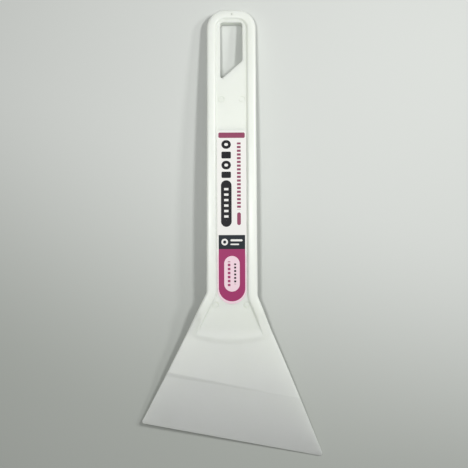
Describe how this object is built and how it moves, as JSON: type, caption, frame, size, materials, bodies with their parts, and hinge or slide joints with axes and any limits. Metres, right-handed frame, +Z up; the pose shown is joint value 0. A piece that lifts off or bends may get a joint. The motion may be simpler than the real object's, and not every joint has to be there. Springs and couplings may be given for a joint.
{
  "type": "flexible spatula scraper",
  "caption": "Soft white plastic scraper with a wide slanted blade that thins to a flexible lip, an arched finger rest, and a rimmed bowed handle with a hang hole and a printed sticker.",
  "frame": {"origin": "on the ground under the middle of the scraper's length, as it lies on its back", "axes": "+X across the handle towards the blade's long corner, +Y along the handle towards the hang hole, +Z up, out of the side with the sticker"},
  "size_m": [0.064, 0.1582, 0.0094],
  "materials": {
    "white_plastic": "satin moulded, slightly translucent",
    "sticker": "printed film, low gloss"
  },
  "bodies": {
    "root": {"scraper_body": "white_plastic", "label": "sticker"}
  },
  "joints": []
}
